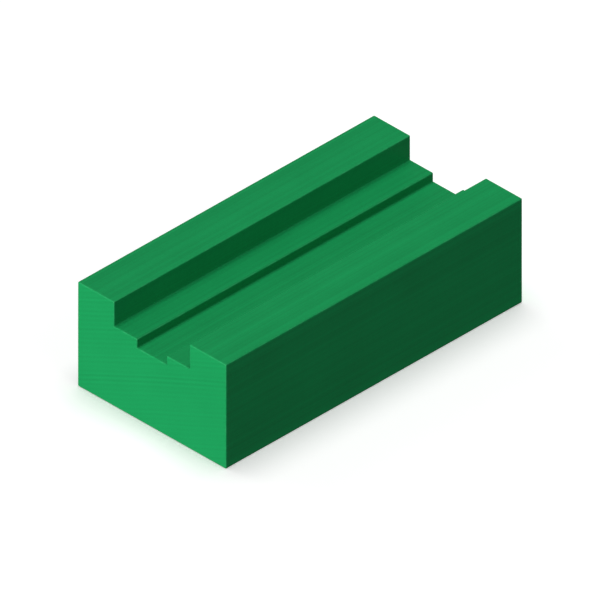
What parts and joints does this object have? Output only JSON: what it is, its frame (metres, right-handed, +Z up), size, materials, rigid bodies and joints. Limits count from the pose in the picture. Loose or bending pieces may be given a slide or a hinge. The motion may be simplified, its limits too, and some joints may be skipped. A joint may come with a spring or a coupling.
{
  "type": "mounting block",
  "caption": "Solid rectangular plastic mounting block with a stepped channel along its top: a wide shallow seat for a flat bar or rail foot, and a narrower relief groove below it.",
  "frame": {"origin": "centre of the flat underside", "axes": "+X along the channel, +Y across it, +Z up out of the channel's open side"},
  "size_m": [0.1, 0.05, 0.03],
  "materials": {
    "green_plastic": "satin"
  },
  "bodies": {
    "root": {"block": "green_plastic"}
  },
  "joints": []
}
